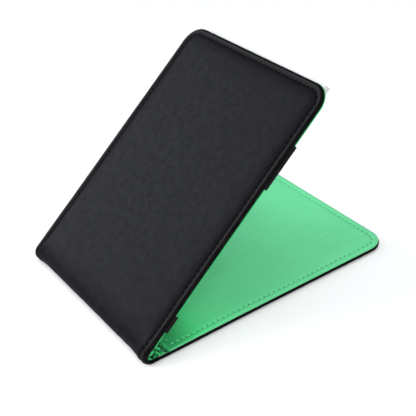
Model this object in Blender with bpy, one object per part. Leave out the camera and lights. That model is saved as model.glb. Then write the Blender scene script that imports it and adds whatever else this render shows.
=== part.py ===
"""Pocket notebook: a padded flip cover with a lined inside, standing half open,
a bound pad strapped under its front panel and a sewn pocket on its back panel.

Each panel is modelled lying flat in its own panel coordinates, in millimetres:
x across the cover, s away from the fold, h inwards from the padded outer face.
The back panel lies on the table.  The front panel's frame is tilted about the
fold, and the soft fold between them is a round bend cut into three strips.
"""
import math

import bmesh
import bpy
from mathutils import Vector

MM = 0.001

# Driving dimensions, in millimetres and degrees
COVER_WIDTH = 90.0
PANEL_LENGTH = 118.0
CORNER_RADIUS = 8.2
FOLD_RADIUS = 4.1
STANDING_ANGLE = math.radians(40.5)
CLOSED_ANGLE = math.radians(3.0)

# Heights of the cover's layers above the padded outer face
SKIN_THICKNESS = 0.5
RIM_RECESS = 0.6
STITCH_VALLEY = 0.72
PADDING_BOTTOM = 0.6
PADDING_TOP = 1.1
BOARD_BOTTOM = 1.2
BOARD_TOP = 1.8
LINING_BOTTOM = 1.9
LINING_TOP = 2.3
POCKET_BOTTOM = 2.4
POCKET_TOP = 2.8
SPINE_WALL_TOP = 1.4
SPINE_LINING_BOTTOM = 1.5
SPINE_LINING_TOP = 1.9

# The fold
SIDE_HINGE = 2.4
NEUTRAL_HEIGHT = 0.3
BODY_GAP = 0.3
FOLD_STEPS = 6

# Seams
STITCH_INSET = 2.6
OUTER_THREAD_RADIUS = 0.2
INNER_THREAD_RADIUS = 0.15
GROOVE_DEPTH = 0.15
THREAD_SIDES = 8
CORNER_STEPS = 7

# Pocket on the back panel
POCKET_MOUTH = 8.3
POCKET_INSET = 0.3
HEM_DISTANCE = 1.8
HEM_END_INSET = 5.0

# Elastic straps, sewn into the front panel's side seams
NARROW_STRAP = (9.7, 16.8)
WIDE_STRAP = (74.2, 93.6)
STRAP_THICKNESS = 0.5
STRAP_CLEARANCE = 0.3
STRAP_END_HEIGHT = 1.3

# The pad, measured from the lining it lies on
PAD_WIDTH = 76.0
PAD_START = 4.0
PAD_END = 119.2
BINDING_END = 8.0
CARD_BOTTOM = 0.35
CARD_TOP = 0.75
STRAP_BOTTOM = 0.95
BLOCK_BOTTOM = 1.65
BLOCK_TOP = 2.65
BINDING_BOTTOM = 0.8
TAPE_THICKNESS = 0.15
TAPE_GAP = 0.1

# Loose leaves
LEAF_COUNT = 6
LEAF_BOTTOM = 2.85
LEAF_PITCH = 0.3
LEAF_THICKNESS = 0.12
LEAF_HINGE = 8.3
LEAF_AXIS_DEPTH = 4.1
LEAF_EDGE_GAP = 0.25

# Staples
STAPLE_SPAN = 12.0
STAPLE_WIRE = 0.4
STAPLE_OFFSET = 20.0
STAPLE_LINE = 6.0
STAPLE_HOLE = 0.8
STAPLE_FOOT = 0.45

# Worked out from the driving dimensions
FOLD_TURN = math.pi - STANDING_ANGLE
CREASE_ANGLE = FOLD_TURN / 2
CREASE_RADIUS = (FOLD_RADIUS - NEUTRAL_HEIGHT) / math.cos(CREASE_ANGLE / 2)
SIDE_CLOSING = (STANDING_ANGLE - CLOSED_ANGLE) / 2
MITRE = math.tan(SIDE_CLOSING / 2 + math.radians(0.5))
TABLE_SHIFT = -PANEL_LENGTH / 2
FRONT_BASE = Vector((0, -FOLD_RADIUS * math.sin(STANDING_ANGLE),
                     FOLD_RADIUS * (1 + math.cos(STANDING_ANGLE))))
ALONG_FRONT = Vector((0, math.cos(STANDING_ANGLE), math.sin(STANDING_ANGLE)))
INTO_FRONT = Vector((0, math.sin(STANDING_ANGLE), -math.cos(STANDING_ANGLE)))

# Outer skin of a panel: from the middle of the padded face out to the edge, up
# the side wall and back in over the inner surface.  Each point is (inset, h).
SKIN_OUTSIDE = [(7.0, 0.0), (5.2, 0.14), (3.9, 0.46), (3.0, STITCH_VALLEY), (2.2, STITCH_VALLEY),
                (1.7, RIM_RECESS), (0.6, RIM_RECESS), (0.15, 0.75), (0.0, 1.05)]
SKIN_INSIDE = [(0.5, 1.1), (3.5, 1.1), (4.4, 0.92), (5.6, 0.64), (7.2, SKIN_THICKNESS)]
WALL_THICKNESS = 0.5


def remove_everything():
    for item in list(bpy.data.objects):
        bpy.data.objects.remove(item, do_unlink=True)


def material(name, colour, roughness, metallic=0.0):
    made = bpy.data.materials.new(name)
    made.use_nodes = True
    shader = made.node_tree.nodes["Principled BSDF"]
    shader.inputs["Base Color"].default_value = (*colour, 1.0)
    shader.inputs["Roughness"].default_value = roughness
    shader.inputs["Metallic"].default_value = metallic
    return made


BLACK_LEATHER = (0.018, 0.018, 0.020)
BLACK_THREAD = (0.006, 0.006, 0.007)
GREEN_LINING = (0.10, 0.58, 0.30)
GREEN_THREAD = (0.07, 0.42, 0.22)
FOAM_GREY = (0.55, 0.55, 0.53)
GREYBOARD = (0.42, 0.38, 0.33)
ELASTIC_BLACK = (0.008, 0.008, 0.009)
PAPER_WHITE = (0.82, 0.83, 0.86)
CARD_WHITE = (0.70, 0.71, 0.72)
STEEL = (0.62, 0.62, 0.64)


def frame_empty(name, location, rotation=(0.0, 0.0, 0.0)):
    """An empty at a body's joint axis; the body's pieces hang from it."""
    empty = bpy.data.objects.new(name, None)
    empty.rotation_mode = "YXZ"
    empty.rotation_euler = rotation
    empty.location = location * MM
    empty.empty_display_size = 5 * MM
    bpy.context.scene.collection.objects.link(empty)
    return empty


def add_piece(name, points, faces, body, colour, roughness, metallic=0.0):
    """One closed solid.  body is (empty, the panel point that its frame sits on)."""
    parent, anchor = body
    mesh = bpy.data.meshes.new(name)
    mesh.from_pydata([(Vector(point) - anchor) * MM for point in points], [], faces)
    shape = bmesh.new()
    shape.from_mesh(mesh)
    bmesh.ops.recalc_face_normals(shape, faces=shape.faces)
    shape.to_mesh(mesh)
    shape.free()
    mesh.materials.append(material(name, colour, roughness, metallic))
    piece = bpy.data.objects.new(name, mesh)
    piece.parent = parent
    bpy.context.scene.collection.objects.link(piece)
    return piece


def panel_outline(inset, start):
    """Three sides of a panel, round the two far corners, from fold to fold."""
    half = COVER_WIDTH / 2 - inset
    far = PANEL_LENGTH - inset
    radius = max(CORNER_RADIUS - inset, 0.4)
    outline = [(-half, start)]
    for step in range(CORNER_STEPS + 1):
        angle = math.pi / 2 * step / CORNER_STEPS
        outline.append((-half + radius * (1 - math.cos(angle)), far - radius * (1 - math.sin(angle))))
    for step in range(CORNER_STEPS + 1):
        angle = math.pi / 2 * step / CORNER_STEPS
        outline.append((half - radius * (1 - math.sin(angle)), far - radius * (1 - math.cos(angle))))
    outline.append((half, start))
    return outline


def panel_solid(profile, start):
    """A panel-shaped solid.  profile runs (inset, h) from the middle of its one
    face out to the edge and back to the middle of its other face; start(h) is
    how far from the fold it begins."""
    rings = [panel_outline(inset, start(height)) for inset, height in profile]
    count = len(rings[0])
    points = [(x, s, height) for ring, (_, height) in zip(rings, profile) for x, s in ring]
    faces = [list(range(count)), [len(points) - count + i for i in range(count)]]
    for ring in range(len(rings) - 1):
        first = ring * count
        for i in range(count - 1):
            faces.append([first + i, first + i + 1, first + count + i + 1, first + count + i])
    left_end = [ring * count for ring in range(len(rings))]
    right_end = [ring * count + count - 1 for ring in range(len(rings))]
    faces.append(left_end + right_end[::-1])
    return points, faces


def mitred(height):
    """Where a panel's layers begin: cut back so that the fold can close."""
    return SIDE_HINGE + BODY_GAP / 2 + max(height - NEUTRAL_HEIGHT, 0.0) * MITRE


def skin_profile(wall_top):
    edge = [(0.0, wall_top), (WALL_THICKNESS, wall_top)]
    return SKIN_OUTSIDE + edge + SKIN_INSIDE


def lining_profile(bottom, top, inset):
    """A flat sheet with a shallow groove along its seam."""
    groove = top - GROOVE_DEPTH
    return [(10.0, bottom), (inset, bottom), (inset, top), (STITCH_INSET - 0.5, top),
            (STITCH_INSET - 0.25, groove), (STITCH_INSET + 0.25, groove),
            (STITCH_INSET + 0.5, top), (10.0, top)]


def bent(x, along, height):
    """A point of the fold: along runs over the outer face from the back panel,
    round the bend and on along the front panel."""
    arc = FOLD_RADIUS * FOLD_TURN
    if along < 0:
        return Vector((x, -along + TABLE_SHIFT, height))
    if along > arc:
        start = FRONT_BASE + Vector((x, TABLE_SHIFT, 0))
        return start + (along - arc) * ALONG_FRONT + height * INTO_FRONT
    angle = along / FOLD_RADIUS
    reach = FOLD_RADIUS - height
    return Vector((x, -reach * math.sin(angle) + TABLE_SHIFT, FOLD_RADIUS - reach * math.cos(angle)))


def strip_solid(profile, first, last):
    """A strip of the fold.  profile is half of its section, as (inset, h) from
    the middle of the outer face to the middle of the inner face.  first(h) and
    last(h) are its two ends, measured along the outer face."""
    half = COVER_WIDTH / 2
    section = [(-half + inset, height) for inset, height in profile]
    section += [(half - inset, height) for inset, height in reversed(profile)]
    arc = FOLD_RADIUS * FOLD_TURN
    points = []
    for step in range(FOLD_STEPS + 1):
        share = step / FOLD_STEPS
        for x, height in section:
            start, end = first(height), last(height)
            bend_start, bend_end = max(start, 0.0), min(end, arc)
            along = bend_start + (bend_end - bend_start) * share
            if step == 0:
                along = start
            if step == FOLD_STEPS:
                along = end
            points.append(bent(x, along, height))
    count = len(section)
    faces = [list(range(count)), [FOLD_STEPS * count + i for i in range(count)]]
    for step in range(FOLD_STEPS):
        base = step * count
        for i in range(count):
            following = (i + 1) % count
            faces.append([base + i, base + following, base + count + following, base + count + i])
    return points, faces


def tube_solid(route, radius):
    """A thread: a tube along a route of points that lies in a level plane."""
    points = []
    for i, point in enumerate(route):
        before = route[max(i - 1, 0)]
        after = route[min(i + 1, len(route) - 1)]
        heading = (after - before).normalized()
        side = heading.cross(Vector((0, 0, 1))).normalized()
        for turn in range(THREAD_SIDES):
            angle = 2 * math.pi * turn / THREAD_SIDES
            points.append(point + radius * (math.cos(angle) * side + Vector((0, 0, math.sin(angle)))))
    last = (len(route) - 1) * THREAD_SIDES
    faces = [list(range(THREAD_SIDES)), [last + i for i in range(THREAD_SIDES)]]
    for i in range(len(route) - 1):
        base = i * THREAD_SIDES
        for turn in range(THREAD_SIDES):
            following = (turn + 1) % THREAD_SIDES
            faces.append([base + turn, base + following,
                          base + THREAD_SIDES + following, base + THREAD_SIDES + turn])
    return points, faces


def seam_route(height, start):
    return [Vector((x, s, height)) for x, s in panel_outline(STITCH_INSET, start)]


def box_solid(low, high):
    corners = [(x, y, z) for z in (low[2], high[2]) for y in (low[1], high[1]) for x in (low[0], high[0])]
    faces = [[0, 2, 3, 1], [4, 5, 7, 6], [0, 1, 5, 4], [2, 6, 7, 3], [0, 4, 6, 2], [1, 3, 7, 5]]
    return corners, faces


def extruded_solid(outline, across, low, high):
    """An outline of (a, h) pairs extruded: across "x" draws it in s and h and
    extrudes along x, and across "s" draws it in x and h and extrudes along s."""
    points = []
    for end in (low, high):
        for a, height in outline:
            points.append((end, a, height) if across == "x" else (a, end, height))
    count = len(outline)
    faces = [list(range(count)), [count + i for i in range(count)]]
    for i in range(count):
        following = (i + 1) % count
        faces.append([i, following, count + following, count + i])
    return points, faces


def cut(piece, name, low, high, body):
    """Takes a box out of a piece."""
    points, faces = box_solid(low, high)
    cutter = add_piece(name, points, faces, body, STEEL, 0.5)
    cutter.hide_render = True
    cutter.display_type = "WIRE"
    hole = piece.modifiers.new(name, "BOOLEAN")
    hole.object = cutter
    hole.operation = "DIFFERENCE"
    hole.solver = "EXACT"


def crease_point(angle):
    """A crease of the fold: a corner of the folded line that touches the bend."""
    return Vector((0, -CREASE_RADIUS * math.sin(angle) + TABLE_SHIFT,
                   FOLD_RADIUS - CREASE_RADIUS * math.cos(angle)))


def front_point(s, height):
    return FRONT_BASE + Vector((0, TABLE_SHIFT, 0)) + s * ALONG_FRONT + height * INTO_FRONT


def build_cover_shell(prefix, body):
    """The layers both panels share: skin, padding, board, lining and seam."""
    add_piece(prefix + "_outer_skin", *panel_solid(skin_profile(BOARD_TOP), mitred), body,
              BLACK_LEATHER, 0.5)
    padding = [(7.4, PADDING_BOTTOM), (6.0, 0.75), (4.9, 1.0), (4.9, PADDING_TOP), (9.0, PADDING_TOP)]
    add_piece(prefix + "_padding", *panel_solid(padding, lambda height: mitred(height) + BODY_GAP),
              body, FOAM_GREY, 0.9)
    board = [(9.0, BOARD_BOTTOM), (WALL_THICKNESS + 0.2, BOARD_BOTTOM),
             (WALL_THICKNESS + 0.2, BOARD_TOP), (9.0, BOARD_TOP)]
    add_piece(prefix + "_board", *panel_solid(board, lambda height: mitred(height) + BODY_GAP),
              body, GREYBOARD, 0.85)
    add_piece(prefix + "_lining", *panel_solid(lining_profile(LINING_BOTTOM, LINING_TOP, 0.0), mitred),
              body, GREEN_LINING, 0.55)
    outer_height = STITCH_VALLEY - 0.1 - OUTER_THREAD_RADIUS
    route = seam_route(outer_height, mitred(outer_height) + BODY_GAP)
    add_piece(prefix + "_edge_thread", *tube_solid(route, OUTER_THREAD_RADIUS), body, BLACK_THREAD, 0.7)


def inner_thread(name, surface, start, body):
    height = surface - GROOVE_DEPTH + 0.05 + INNER_THREAD_RADIUS
    add_piece(name, *tube_solid(seam_route(height, start), INNER_THREAD_RADIUS), body, GREEN_THREAD, 0.7)


def build_pocket(body):
    """A flat pocket sewn on three sides, its hemmed mouth towards the fold."""
    points, faces = panel_solid(lining_profile(POCKET_BOTTOM, POCKET_TOP, POCKET_INSET),
                                lambda height: POCKET_MOUTH)
    panel = add_piece("pocket_panel", points, faces, body, GREEN_LINING, 0.55)
    hem = POCKET_MOUTH + HEM_DISTANCE
    reach = COVER_WIDTH / 2 - HEM_END_INSET
    cut(panel, "hem_groove", (-reach - 0.3, hem - 0.3, POCKET_TOP - 0.2),
        (reach + 0.3, hem + 0.3, POCKET_TOP + 0.3), body)
    radius = 0.12
    route = [Vector((x, hem, POCKET_TOP - 0.2 + 0.05 + radius)) for x in (-reach, reach)]
    add_piece("pocket_hem_thread", *tube_solid(route, radius), body, GREEN_THREAD, 0.7)
    inner_thread("pocket_edge_thread", POCKET_TOP, POCKET_MOUTH + 0.6, body)


def build_strap(name, extent, body):
    """A flat elastic band across the inside, turned down past both side edges."""
    inner = COVER_WIDTH / 2 + STRAP_CLEARANCE
    outer = inner + STRAP_THICKNESS
    low = LINING_TOP + STRAP_BOTTOM
    high = low + STRAP_THICKNESS
    outline = [(-outer, STRAP_END_HEIGHT), (-inner, STRAP_END_HEIGHT), (-inner, low), (inner, low),
               (inner, STRAP_END_HEIGHT), (outer, STRAP_END_HEIGHT), (outer, high), (-outer, high)]
    add_piece(name, *extruded_solid(outline, "s", *extent), body, ELASTIC_BLACK, 0.8)


def build_pad(body):
    """Backing card, a block of sheets, the binding tape over its bound edge and
    two staples.  The straps pass between the card and the sheets."""
    half = PAD_WIDTH / 2
    base = LINING_TOP
    card = add_piece("backing_card", *box_solid((-half, PAD_START + 0.3, base + CARD_BOTTOM),
                                                (half, PAD_END - 0.3, base + CARD_TOP)),
                     body, CARD_WHITE, 0.7)
    outline = [(PAD_START + 0.3, base + BINDING_BOTTOM), (BINDING_END, base + BINDING_BOTTOM),
               (BINDING_END, base + BLOCK_BOTTOM), (PAD_END, base + BLOCK_BOTTOM),
               (PAD_END, base + BLOCK_TOP), (PAD_START + 0.3, base + BLOCK_TOP)]
    block = add_piece("sheet_block", *extruded_solid(outline, "x", -half, half), body, PAPER_WHITE, 0.75)
    inside = base + BLOCK_TOP + TAPE_GAP
    outside = inside + TAPE_THICKNESS
    outline = [(PAD_START, base + CARD_BOTTOM), (PAD_START + TAPE_THICKNESS, base + CARD_BOTTOM),
               (PAD_START + TAPE_THICKNESS, inside), (BINDING_END - 0.2, inside),
               (BINDING_END - 0.2, outside), (PAD_START, outside)]
    tape = add_piece("binding_tape", *extruded_solid(outline, "x", -half, half), body, BLACK_THREAD, 0.6)
    wire = STAPLE_WIRE / 2
    for side, name in ((-1, "staple_left"), (1, "staple_right")):
        middle = side * STAPLE_OFFSET
        low, high = middle - STAPLE_SPAN / 2, middle + STAPLE_SPAN / 2
        crown = outside + 0.05
        foot = base + STAPLE_FOOT
        outline = [(low, foot), (low + STAPLE_WIRE, foot), (low + STAPLE_WIRE, crown),
                   (high - STAPLE_WIRE, crown), (high - STAPLE_WIRE, foot), (high, foot),
                   (high, crown + 0.3), (low, crown + 0.3)]
        add_piece(name, *extruded_solid(outline, "s", STAPLE_LINE - wire, STAPLE_LINE + wire), body,
                  STEEL, 0.3, 1.0)
        for end, leg in (("inner", low + wire), ("outer", high - wire)):
            hole_low = (leg - STAPLE_HOLE / 2, STAPLE_LINE - STAPLE_HOLE / 2, base)
            hole_high = (leg + STAPLE_HOLE / 2, STAPLE_LINE + STAPLE_HOLE / 2, outside + 1.0)
            for piece in (card, block, tape):
                cut(piece, f"{piece.name}_{name}_{end}_hole", hole_low, hole_high, body)


def build_leaves(front):
    """Loose leaves, each carried by the one under it.  They all turn about one
    line beside the binding, a little clear of the staples."""
    parent, anchor = front
    half = PAD_WIDTH / 2
    offset = Vector((0, LEAF_HINGE, LINING_TOP + LEAF_AXIS_DEPTH)) - anchor
    for number in range(1, LEAF_COUNT + 1):
        bottom = LEAF_BOTTOM + LEAF_PITCH * (number - 1) - LEAF_AXIS_DEPTH
        low = (-half, LEAF_EDGE_GAP, bottom)
        high = (half, PAD_END - LEAF_HINGE, bottom + LEAF_THICKNESS)
        leaf = add_piece(f"leaf_{number}", *box_solid(low, high), (parent, Vector((0, 0, 0))),
                         PAPER_WHITE, 0.75)
        leaf.location = offset * MM
        parent = leaf
        offset = Vector((0, 0, 0))


def build_fold(bodies):
    """Skin and lining of the fold, in three strips between four hinge lines."""
    arc = FOLD_RADIUS * FOLD_TURN
    creases = (arc / 4, 3 * arc / 4)
    half_gap = BODY_GAP / 2
    skin = skin_profile(SPINE_WALL_TOP)
    lining = [(9.0, SPINE_LINING_BOTTOM), (0.0, SPINE_LINING_BOTTOM), (0.0, SPINE_LINING_TOP),
              (9.0, SPINE_LINING_TOP)]

    def side_end(height):
        return SIDE_HINGE - half_gap - max(height - NEUTRAL_HEIGHT, 0.0) * MITRE

    ends = {
        "back": (lambda height: -side_end(height), lambda height: creases[0] - half_gap),
        "middle": (lambda height: creases[0] + half_gap, lambda height: creases[1] - half_gap),
        "front": (lambda height: creases[1] + half_gap, lambda height: arc + side_end(height)),
    }
    for place, (first, last) in ends.items():
        body = bodies[place]
        add_piece(f"spine_skin_{place}", *strip_solid(skin, first, last), body, BLACK_LEATHER, 0.5)
        add_piece(f"spine_lining_{place}", *strip_solid(lining, first, last), body, GREEN_LINING, 0.55)


def main():
    remove_everything()
    table = frame_empty("back_cover_frame", Vector((0, TABLE_SHIFT, 0)))
    back = (table, Vector((0, 0, 0)))

    side_back = Vector((0, SIDE_HINGE + TABLE_SHIFT, NEUTRAL_HEIGHT))
    pivots = {
        "back": side_back,
        "middle": crease_point(CREASE_ANGLE / 2),
        "front": crease_point(3 * CREASE_ANGLE / 2),
    }
    strips = {place: (frame_empty(f"spine_{place}_frame", pivot), pivot) for place, pivot in pivots.items()}

    front_frame = frame_empty("front_cover_frame", front_point(SIDE_HINGE, NEUTRAL_HEIGHT),
                              (STANDING_ANGLE, math.pi, 0.0))
    front = (front_frame, Vector((0, SIDE_HINGE, NEUTRAL_HEIGHT)))

    build_cover_shell("back", back)
    build_pocket(back)
    build_fold(strips)
    build_cover_shell("front", front)
    inner_thread("front_lining_thread", LINING_TOP, mitred(LINING_TOP) + BODY_GAP, front)
    build_strap("strap_narrow", NARROW_STRAP, front)
    build_strap("strap_wide", WIDE_STRAP, front)
    build_pad(front)
    build_leaves(front)
    bpy.context.view_layer.update()


main()
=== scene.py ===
"""Looks of the pocket notebook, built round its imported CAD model.

Lengths are in millimetres until a point is placed.  The cover is worked out as
one flat pattern: x across it, and along, which runs over its outer face from the
back panel (below 0), round the fold (0 to FOLD_ARC) and on over the front panel.
height is measured from the padded outer face, towards the inside.
"""
import math
import random

import bpy
import numpy as np
from mathutils import Matrix, Vector, noise


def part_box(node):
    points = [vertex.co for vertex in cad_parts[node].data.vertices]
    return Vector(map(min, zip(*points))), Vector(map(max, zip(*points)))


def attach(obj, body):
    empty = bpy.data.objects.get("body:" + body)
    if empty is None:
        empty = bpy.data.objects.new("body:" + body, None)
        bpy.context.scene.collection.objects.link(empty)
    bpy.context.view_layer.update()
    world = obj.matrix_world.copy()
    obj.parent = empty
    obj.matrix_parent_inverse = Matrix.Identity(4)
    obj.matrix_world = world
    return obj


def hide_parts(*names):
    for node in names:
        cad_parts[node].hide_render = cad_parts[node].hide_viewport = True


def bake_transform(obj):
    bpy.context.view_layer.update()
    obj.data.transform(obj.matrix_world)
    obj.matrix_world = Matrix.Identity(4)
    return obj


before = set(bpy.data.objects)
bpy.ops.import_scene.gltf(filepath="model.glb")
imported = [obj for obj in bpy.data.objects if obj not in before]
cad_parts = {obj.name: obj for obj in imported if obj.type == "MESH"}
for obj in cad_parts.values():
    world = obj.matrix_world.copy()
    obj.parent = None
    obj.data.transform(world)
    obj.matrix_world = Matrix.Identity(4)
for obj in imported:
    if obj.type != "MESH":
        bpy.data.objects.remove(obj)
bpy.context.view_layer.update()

scene = bpy.context.scene
MM = 0.001
rng = random.Random(11)

# Driving dimensions of the CAD model
HALF_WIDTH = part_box("back_lining")[1].x / MM
FAR_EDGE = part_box("back_lining")[1].y / MM
PANEL_LENGTH = 118.0
CORNER_RADIUS = 8.2
FOLD_RADIUS = 4.1
STANDING_ANGLE = math.radians(40.5)
STITCH_INSET = 2.6
LINING_TOP = 2.3
POCKET_MOUTH = 8.3
SIDE_HINGE = 2.4
PAD_HALF = 38.0
PAD_START = 4.0
BINDING_END = 8.0
LEAF_COUNT = 6

# Where the looks leave the CAD model a little, to show what the photo shows
NARROW_STRAP = (10.4, 17.5)
WIDE_STRAP = (74.2, 93.6)
PAD_END = 119.6
PAD_SHIFT = 0.5
LINING_TRIM = 0.75
POCKET_TRIM = 0.5

STITCH_PITCH = 2.5
HOLE_EDGE, HOLE_CORE = 0.52, 0.22
NO_SEAM = (0.0, 20.0)
CORNER_STEPS = 9
ROD_SIDES = 8

FOLD_TURN = math.pi - STANDING_ANGLE
FOLD_ARC = FOLD_RADIUS * FOLD_TURN
FOLD_LINE = FAR_EDGE - PANEL_LENGTH


def smooth(low, high, value):
    """0 below low, 1 above high and an easy curve between."""
    share = np.clip((np.asarray(value, float) - low) / (high - low), 0, 1)
    return share * share * (3 - 2 * share)


def from_fold(along):
    """Distance from the round of the fold, on either panel."""
    return np.maximum(np.maximum(-along, along - FOLD_ARC), 0.0)


def flare(along):
    """How far the side edges stand out: widest at the fold, drawn in at the far
    end of the front panel."""
    away = from_fold(along)
    front = 0.5 * np.exp(-(away / 24.0) ** 2) - 0.45 * smooth(35, 118, away)
    back = 0.4 * np.exp(-(away / 30.0) ** 2) + 0.1
    return np.where(along > FOLD_ARC / 2, front, back)


def place(x, along, height):
    """World points of the cover."""
    x, along, height = np.broadcast_arrays(*(np.asarray(v, float) for v in (x, along, height)))
    x = x + flare(along) * x / HALF_WIDTH
    angle = np.clip(along / FOLD_RADIUS, 0, FOLD_TURN)
    reach = FOLD_RADIUS - height
    over = np.maximum(along - FOLD_ARC, 0)
    under = np.maximum(-along, 0)
    y = FOLD_LINE - reach * np.sin(angle) + over * math.cos(STANDING_ANGLE) + under
    z = FOLD_RADIUS - reach * np.cos(angle) + over * math.sin(STANDING_ANGLE)
    return np.stack([x, y, z], -1) * MM


def on_front(x, s, height):
    """World points of what the front panel carries: flat, without the flare."""
    x, s, height = np.broadcast_arrays(*(np.asarray(v, float) for v in (x, s, height)))
    sine, cosine = math.sin(STANDING_ANGLE), math.cos(STANDING_ANGLE)
    y = FOLD_LINE - FOLD_RADIUS * sine + s * cosine + height * sine
    z = FOLD_RADIUS * (1 + cosine) + s * sine - height * cosine
    return np.stack([x, y, z], -1) * MM


def wave(x, y, seed, scale):
    """Smooth noise, from about -1 to 1, over a flat pattern."""
    flat = np.stack([np.ravel(x) / scale, np.ravel(y) / scale], -1)
    return np.array([noise.noise(Vector((a, b, seed))) for a, b in flat]).reshape(np.shape(x))


# -------- meshes

def make_object(name, points, faces, material, flat=None, seam=None, normals=None,
                smooth_faces=True, shade=None):
    """flat is a pattern point for each vertex and seam one for each face corner, both in mm.
    shade says how much painted shade each vertex gets, from 0 to 1."""
    mesh = bpy.data.meshes.new(name)
    mesh.from_pydata([tuple(p) for p in points], [], faces)
    if flat is not None:
        layer = mesh.uv_layers.new(name="flat")
        corners = np.zeros(len(mesh.loops), int)
        mesh.loops.foreach_get("vertex_index", corners)
        layer.data.foreach_set("uv", (np.asarray(flat)[corners] * MM).astype(np.float32).ravel())
    if seam is not None:
        layer = mesh.uv_layers.new(name="seam")
        values = np.array([pair for face in seam for pair in face], np.float32) * MM
        layer.data.foreach_set("uv", values.ravel())
    if shade is not None:
        layer = mesh.uv_layers.new(name="shade")
        depths = np.asarray(shade, np.float32)[corners]
        layer.data.foreach_set("uv", np.stack([depths, depths], -1).ravel())
    mesh.materials.append(material)
    mesh.polygons.foreach_set("use_smooth", [smooth_faces] * len(mesh.polygons))
    mesh.update()
    if normals is not None:
        mesh.normals_split_custom_set_from_vertices([tuple(n) for n in normals])
    made = bpy.data.objects.new(name, mesh)
    scene.collection.objects.link(made)
    return made


def inside_out(points, faces):
    """Whether the faces of a closed shape look inwards."""
    total = 0.0
    for face in faces:
        a = points[face[0]]
        for b, c in zip(face[1:-1], face[2:]):
            total += float(np.dot(a, np.cross(points[b], points[c])))
    return total < 0


def slab_faces(points, rows, columns):
    """Faces of two grids of points, one over the other, and of the rim between them."""
    size, faces = rows * columns, []
    for side in (0, 1):
        for i in range(rows - 1):
            for j in range(columns - 1):
                a = side * size + i * columns + j
                quad = [a, a + 1, a + columns + 1, a + columns]
                faces.append(quad[::-1] if side else quad)
    rim = list(range(columns)) + [i * columns + columns - 1 for i in range(1, rows)]
    rim += [(rows - 1) * columns + j for j in reversed(range(columns - 1))]
    rim += [i * columns for i in reversed(range(1, rows - 1))]
    for a, b in zip(rim, rim[1:] + rim[:1]):
        faces.append([b, a, a + size, b + size])
    return [face[::-1] for face in faces] if inside_out(points, faces) else faces


def closed_sheet(half, low, high, xs, along, rings, depth, round_low=True, shift=0.0, edge=()):
    """A closed sheet over a rectangle with rounded corners.  rings are (inset, h)
    from the middle of the first face, over the edge, to the middle of the second.
    Returns (x, along, inset, h, face) for each point, its faces, seam and flat,
    the seam's line and which faces lie between the rings numbered in edge."""
    loop = [(0, j, -1.0, 0.0) for j in range(len(along))]
    corner = [math.pi / 2 * k / CORNER_STEPS for k in range(1, CORNER_STEPS)]
    last_x, last_a = len(xs) - 1, len(along) - 1
    loop += [(0, last_a, -math.cos(t), math.sin(t)) for t in corner]
    loop += [(i, last_a, 0.0, 1.0) for i in range(len(xs))]
    loop += [(last_x, last_a, math.sin(t), math.cos(t)) for t in corner]
    loop += [(last_x, j, 1.0, 0.0) for j in reversed(range(len(along)))]
    right = [(math.cos(t), -math.sin(t)) for t in corner] if round_low else [(1.0, -1.0)]
    left = [(-math.sin(t), -math.cos(t)) for t in corner] if round_low else [(-1.0, -1.0)]
    loop += [(last_x, 0, dx, da) for dx, da in right]
    loop += [(i, 0, 0.0, -1.0) for i in reversed(range(len(xs)))]
    loop += [(0, 0, dx, da) for dx, da in left]

    points, flat, index = [], [], {}
    for face, (_, height) in ((0, rings[0]), (1, rings[-1])):
        for i, x in enumerate(xs):
            for j, a in enumerate(along):
                index[face, i, j] = len(points)
                inside = min(x - xs[0], xs[-1] - x, a - along[0], along[-1] - a)
                points.append((x, a, depth + inside + shift, height, face))
                flat.append((x, a))
    pattern, laid = rings[0][0], []
    for k, (inset, height) in enumerate(rings):
        if k:
            pattern -= math.hypot(inset - rings[k - 1][0], height - rings[k - 1][1])
        if k in (0, len(rings) - 1):
            laid.append([index[min(k, 1), i, j] for i, j, _, _ in loop])
            continue
        row = []
        for i, j, dx, da in loop:
            row.append(len(points))
            reach = depth - inset
            face = 0 if k < len(rings) / 2 else 1
            points.append((xs[i] + reach * dx, along[j] + reach * da, inset + shift, height, face))
            spread = depth - pattern
            flat.append((xs[i] + spread * dx, along[j] + spread * da))
        laid.append(row)

    reach = depth - STITCH_INSET + shift
    seam_line = np.array([(xs[i] + reach * dx, along[j] + reach * da) for i, j, dx, da in loop])
    steps = np.linalg.norm(np.roll(seam_line, -1, 0) - seam_line, axis=1)
    travelled = np.concatenate([[0], np.cumsum(steps)])

    faces, seam, on_edge = [], [], []
    for face in (0, 1):
        for i in range(last_x):
            for j in range(last_a):
                quad = [index[face, i + a, j + b] for a, b in ((0, 0), (1, 0), (1, 1), (0, 1))]
                faces.append(quad if face == 0 else quad[::-1])
                seam.append([NO_SEAM] * 4)
                on_edge.append(0)
    for k in range(len(rings) - 1):
        near, far = rings[k][0] + shift, rings[k + 1][0] + shift
        for i in range(len(loop)):
            after = (i + 1) % len(loop)
            quad = [laid[k][i], laid[k][after], laid[k + 1][after], laid[k + 1][i]]
            spots = [(travelled[i], near), (travelled[i + 1], near),
                     (travelled[i + 1], far), (travelled[i], far)]
            kept = [n for n in range(4) if quad[n] != quad[n - 1]]
            if len(kept) > 2:
                faces.append([quad[n] for n in kept])
                seam.append([spots[n] for n in kept])
                on_edge.append(int(k in edge))
    return np.array(points), faces, seam, np.array(flat), seam_line, on_edge


def capped(faces, seam):
    """Adds a face over each opening that cutting the sheet has left."""
    sides = {side for face in faces for side in zip(face, face[1:] + face[:1])}
    follows = {b: a for a, b in sides if (b, a) not in sides}
    while follows:
        cap, here = [], next(iter(follows))
        while here in follows:
            cap.append(here)
            here = follows.pop(here)
        faces.append(cap)
        seam.append([NO_SEAM] * len(cap))


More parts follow.
